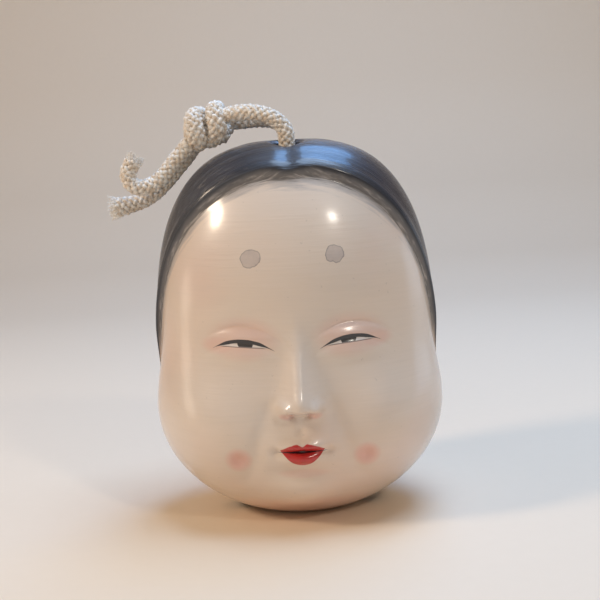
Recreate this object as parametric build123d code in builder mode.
"""A small painted clay bell in the form of a head, on a knotted braided cord.

The bell is pressed in two half moulds, a face half and a hair half, and luted together with slip
round a clay pellet. A sound slot is cut through the foot and two cord holes through the crown.
One length of cord runs down the front hole, under the clay bridge between the holes and up the
rear hole; both ends are then tied together in one overhand knot and cut short.

Units are millimetres. +Z is up, the face looks along -Y, +X is to the right of someone looking
at the face. The origin is on the floor, under the middle of the bell. The halves part at Y = 0.
"""

import math
import os

from build123d import *

# ---- Driving dimensions of the bell ----
HEIGHT = 64.0
WALL = 3.2
HAIR_HALF_WIDTH = 24.2
FACE_HALF_WIDTH = 23.4
FACE_INSET = 0.8  # how far the brow lies under the hair
GROOVE_DEPTH = 0.6
CHAMBER_HALF_WIDTH = 21.5
CHAMBER_WIDEST_Z = 22.0
CHAMBER_FLOOR_Z = 2.6
EAR_Z = 26.0  # the height where the hair is widest
NAPE_Z = 8.0  # the lowest point of the hair
CHEEK_Z = 19.0
BROW_Z = 22.5  # the outline of the face is straight from the cheeks up to here
CHEEK_FULLNESS = 1.6
CHEEK_SPREAD = 8.0
SLIP_THICKNESS = 0.4

# ---- Driving dimensions of the holes, the slot and the pellet ----
CORD_HOLE_RADIUS = 2.3
CORD_HOLE_Y = 4.0
SLOT_WIDTH = 2.8
SLOT_END_RADIUS = 2.5
SLOT_END_X = 11.5
SLOT_CUT_FROM_Z = -2.0
SLOT_CUT_HEIGHT = 10.5
PELLET_RADIUS = 4.5
PELLET_GAP = 0.3

# ---- Driving dimensions of the cord ----
CORD_RADIUS = 1.5
KNOT_CENTRE = Vector(-13.6, 0, 66.9)
KNOT_AXIS = Vector(-0.97, 0, -0.24).normalized()  # from the legs towards the tails
KNOT_LENGTH = 8.0
KNOT_RADIUS = 4.2
KNOT_EDGE = 2.4


def arch_points(half_width, widest_z, tip_z, power, count=8):
    """A quarter of a superellipse, from the widest point to the tip."""
    points = []
    for step in range(count):
        angle = math.pi / 2 * step / (count - 1)
        across = max(math.cos(angle), 0.0) ** (2 / power)
        along = math.sin(angle) ** (2 / power)
        points.append((half_width * across, widest_z + (tip_z - widest_z) * along))
    points[-1] = (0, tip_z)
    return points


def full_cheeks(points):
    """The same line, a little wider about the height of the cheeks."""
    return [
        (x + CHEEK_FULLNESS * math.exp(-(((z - CHEEK_Z) / CHEEK_SPREAD) ** 2)), z) for x, z in points
    ]


# Each form is the right half of a vertical section: an upper line and a lower line, both given
# as (x, z) points from the widest point inwards. The floor cuts the face off a little above the
# tip of its lower line, which leaves the flat that the bell stands on.
FOOT_TIP_Z = -1.0
HAIR_OUTLINE = (
    arch_points(HAIR_HALF_WIDTH, EAR_Z, HEIGHT, 2.8),
    arch_points(HAIR_HALF_WIDTH, EAR_Z, NAPE_Z, 2.0),
)
SUNKEN_OUTLINE = (
    arch_points(HAIR_HALF_WIDTH - GROOVE_DEPTH, EAR_Z, HEIGHT - GROOVE_DEPTH, 2.8),
    arch_points(HAIR_HALF_WIDTH - GROOVE_DEPTH, EAR_Z, NAPE_Z, 2.0),
)
CHAMBER_OUTLINE = (
    arch_points(CHAMBER_HALF_WIDTH, CHAMBER_WIDEST_Z, HEIGHT - WALL, 2.7),
    arch_points(CHAMBER_HALF_WIDTH, CHAMBER_WIDEST_Z, CHAMBER_FLOOR_Z, 2.0),
)
FACE_CROWN_Z = HEIGHT - FACE_INSET
FACE_SIDE = [(FACE_HALF_WIDTH, CHEEK_Z), (FACE_HALF_WIDTH, BROW_Z)]
FACE_ARCH = arch_points(FACE_HALF_WIDTH, EAR_Z, FACE_CROWN_Z, 2.8)
FACE_OUTLINE = (
    full_cheeks(FACE_SIDE + FACE_ARCH[:-1]) + [(0, FACE_CROWN_Z)],
    arch_points(FACE_HALF_WIDTH + CHEEK_FULLNESS, CHEEK_Z, FOOT_TIP_Z, 2.0),
)

# How far each form reaches in front of the parting plane and behind it.
FRONT_DEPTHS = {"hair": 18.9, "face": 18.6, "sunken": 18.3, "chamber": 15.4}
BACK_DEPTHS = {"hair": 20.8, "face": 20.3, "chamber": 17.4}
FRONT, BACK = -1, 1  # the sense in which a half-section is turned about Z

# The opening in the hair that shows the face.
WINDOW_HALF_WIDTH = 22.7
WINDOW_TOP = 59.3

NOSE_CENTRE = (0, -17.4, 23.4)
NOSE_HALF_SIZES = (3.1, 3.4, 5.6)

PARTING_WIDTH = 1.0
FAR = 80.0  # longer than anything that is cut


# ---- Turned forms ----
def half_section(outline):
    """The right half of a form's vertical section."""
    upper, lower = outline
    with BuildSketch(Plane.XZ) as section:
        with BuildLine():
            Spline(*upper, tangents=[(0, 1), (-1, 0)])
            Spline(*lower, tangents=[(0, -1), (-1, 0)])
            Line(upper[-1], lower[-1])
        make_face()
    return section.sketch


def half_form(outline, side, depth):
    """A form turned through half a circle about Z, then flattened to a depth in Y."""
    widest = outline[0][0][0]
    with BuildPart() as solid:
        add(half_section(outline))
        revolve(axis=Axis.Z, revolution_arc=side * 180)
        scale(by=(1, depth / widest, 1), about=(0, 0, 0))
    return solid.part


# ---- Cutters that several pieces share ----
with BuildPart() as sound_slot:
    with BuildSketch(Plane.XY.offset(SLOT_CUT_FROM_Z)):
        SlotCenterToCenter(2 * SLOT_END_X, SLOT_WIDTH)
        with Locations((-SLOT_END_X, 0), (SLOT_END_X, 0)):
            Circle(SLOT_END_RADIUS)
    extrude(amount=SLOT_CUT_HEIGHT)

with BuildPart() as face_window:
    with BuildSketch(Plane.XZ):
        with BuildLine():
            arch = arch_points(WINDOW_HALF_WIDTH, EAR_Z, WINDOW_TOP, 2.5)
            Spline(*arch, tangents=[(0, 1), (-1, 0)])
            Polyline(arch[-1], (0, -5), (FAR, -5), (FAR, EAR_Z - 2), arch[0])
        make_face()
        mirror(about=Plane.YZ)
    extrude(amount=FAR)

# What is left of this block after the sunken form is taken out of it is the groove.
with BuildPart() as parting_groove:
    with Locations((0, -FAR / 2, HEIGHT)):
        Box(PARTING_WIDTH, FAR, FAR / 2)
    add(half_form(SUNKEN_OUTLINE, FRONT, FRONT_DEPTHS["sunken"]), mode=Mode.SUBTRACT)

with BuildPart() as nose:
    Sphere(1)
    scale(by=NOSE_HALF_SIZES, about=(0, 0, 0))


# ---- The two pressed halves and the slip between them ----
with BuildPart() as front_shell:
    add(half_form(HAIR_OUTLINE, FRONT, FRONT_DEPTHS["hair"]))
    add(face_window.part, mode=Mode.SUBTRACT)
    add(parting_groove.part, mode=Mode.SUBTRACT)
    add(half_form(FACE_OUTLINE, FRONT, FRONT_DEPTHS["face"]))
    with Locations(NOSE_CENTRE):
        add(nose.part)
    add(half_form(CHAMBER_OUTLINE, FRONT, FRONT_DEPTHS["chamber"]), mode=Mode.SUBTRACT)
    split(bisect_by=Plane.XZ.offset(SLIP_THICKNESS / 2), keep=Keep.TOP)
    split(bisect_by=Plane.XY, keep=Keep.TOP)
    add(sound_slot.part, mode=Mode.SUBTRACT)
    with Locations((0, -CORD_HOLE_Y, HEIGHT + 1)):
        Hole(CORD_HOLE_RADIUS, depth=2 * WALL)

with BuildPart() as back_shell:
    add(half_form(HAIR_OUTLINE, BACK, BACK_DEPTHS["hair"]))
    add(half_form(FACE_OUTLINE, BACK, BACK_DEPTHS["face"]))
    add(half_form(CHAMBER_OUTLINE, BACK, BACK_DEPTHS["chamber"]), mode=Mode.SUBTRACT)
    split(bisect_by=Plane.XZ.offset(-SLIP_THICKNESS / 2), keep=Keep.BOTTOM)
    split(bisect_by=Plane.XY, keep=Keep.TOP)
    add(sound_slot.part, mode=Mode.SUBTRACT)
    with Locations((0, CORD_HOLE_Y, HEIGHT + 1)):
        Hole(CORD_HOLE_RADIUS, depth=2 * WALL)

with BuildPart() as luting_slip:
    with BuildSketch(Plane.XZ):
        add(half_section(HAIR_OUTLINE))
        add(half_section(FACE_OUTLINE))
        add(half_section(CHAMBER_OUTLINE), mode=Mode.SUBTRACT)
        mirror(about=Plane.YZ)
    extrude(amount=SLIP_THICKNESS / 2, both=True)
    split(bisect_by=Plane.XY, keep=Keep.TOP)
    add(sound_slot.part, mode=Mode.SUBTRACT)

# ---- The pellet, resting over the slot ----
with BuildPart() as clay_pellet:
    with Locations((0, 0, CHAMBER_FLOOR_Z + PELLET_GAP + PELLET_RADIUS)):
        Sphere(PELLET_RADIUS)

# ---- The cord ----
# Each route is a list of points down the middle of the cord. The front strand lies above and in
# front of the rear strand all the way to its cut end.
BIGHT_ROUTE = [(0, -4, 63.3), (0, -4, 58.4), (0, 4, 58.4), (0, 4, 63.3)]
FRONT_LEG_ROUTE = [
    (0, -4, 64.9),
    (-0.3, -4.0, 66.0),
    (-1.8, -3.9, 67.6),
    (-4.6, -3.5, 68.7),
    (-7.9, -2.5, 68.9),
    (-11.4, -1.4, 68.2),
]
REAR_LEG_ROUTE = [
    (0, 4, 64.9),
    (-0.35, 4.0, 66.4),
    (-1.9, 3.9, 67.5),
    (-4.8, 3.4, 67.8),
    (-8.0, 2.5, 67.5),
    (-11.2, 1.5, 67.6),
]
FRONT_TAIL_ROUTE = [
    (-16.8, -1.3, 63.7),
    (-19.2, -1.6, 61.3),
    (-21.1, -1.9, 58.9),
    (-23.2, -2.2, 57.4),
    (-25.2, -2.4, 57.0),
    (-26.9, -2.5, 58.0),
    (-27.2, -2.4, 60.0),
    (-26.0, -2.2, 61.7),
]
REAR_TAIL_ROUTE = [
    (-16.5, 1.4, 62.8),
    (-18.8, 1.6, 60.5),
    (-21.1, 1.5, 57.9),
    (-23.6, 1.2, 55.7),
    (-26.6, 0.8, 54.3),
    (-29.9, 0.3, 53.9),
]
# Under the bridge the cord goes round the clay, so its bends are the bridge's size.
BIGHT_RADIUS = 3.9


def bend_radii(route):
    """The largest arc that each corner of a route has room for."""
    points = [Vector(*point) for point in route]
    radii = []
    for before, corner, after in zip(points, points[1:], points[2:]):
        run_in = corner - before
        run_out = after - corner
        turn = math.radians(run_in.get_angle(run_out))
        shorter = min(run_in.length, run_out.length)
        radii.append(0.45 * shorter / math.tan(turn / 2))
    return radii


def cord_tube(route, radii):
    """A plain round tube along a route of straight runs and tangent arcs."""
    with BuildPart() as tube:
        with BuildLine() as path:
            FilletPolyline(*route, radius=radii)
        with BuildSketch(Plane(origin=path.line @ 0, z_dir=path.line % 0)):
            Circle(CORD_RADIUS)
        sweep()
    length = path.wires()[0].length
    print(
        f"  tube {length:6.1f} mm, volume over section times length "
        f"{tube.part.volume / (math.pi * CORD_RADIUS**2 * length):.4f}, radii",
        [round(radius, 1) for radius in radii],
    )
    return tube.part


with BuildPart() as cord_bight:
    add(cord_tube(BIGHT_ROUTE, [BIGHT_RADIUS, BIGHT_RADIUS]))

# A leg starts in a round end, centred on the line that the loop swings about.
with BuildPart() as cord_front_leg:
    add(cord_tube(FRONT_LEG_ROUTE, bend_radii(FRONT_LEG_ROUTE)))
    with Locations(FRONT_LEG_ROUTE[0]):
        Sphere(CORD_RADIUS)

with BuildPart() as cord_rear_leg:
    add(cord_tube(REAR_LEG_ROUTE, bend_radii(REAR_LEG_ROUTE)))
    with Locations(REAR_LEG_ROUTE[0]):
        Sphere(CORD_RADIUS)

with BuildPart() as cord_front_tail:
    add(cord_tube(FRONT_TAIL_ROUTE, bend_radii(FRONT_TAIL_ROUTE)))

with BuildPart() as cord_rear_tail:
    add(cord_tube(REAR_TAIL_ROUTE, bend_radii(REAR_TAIL_ROUTE)))

with BuildPart() as cord_knot:
    with BuildSketch(Plane(origin=KNOT_CENTRE - KNOT_AXIS * (KNOT_LENGTH / 2), z_dir=KNOT_AXIS)):
        Circle(KNOT_RADIUS)
    extrude(amount=KNOT_LENGTH)
    fillet(cord_knot.edges().filter_by(GeomType.CIRCLE), radius=KNOT_EDGE)

# ---- Write one file for each piece ----
pieces = {
    "front_shell": front_shell,
    "back_shell": back_shell,
    "luting_slip": luting_slip,
    "clay_pellet": clay_pellet,
    "cord_bight": cord_bight,
    "cord_front_leg": cord_front_leg,
    "cord_rear_leg": cord_rear_leg,
    "cord_knot": cord_knot,
    "cord_front_tail": cord_front_tail,
    "cord_rear_tail": cord_rear_tail,
}
os.makedirs("parts", exist_ok=True)
for name, piece in pieces.items():
    piece.part.label = name
    export_step(piece.part, f"parts/{name}.step")
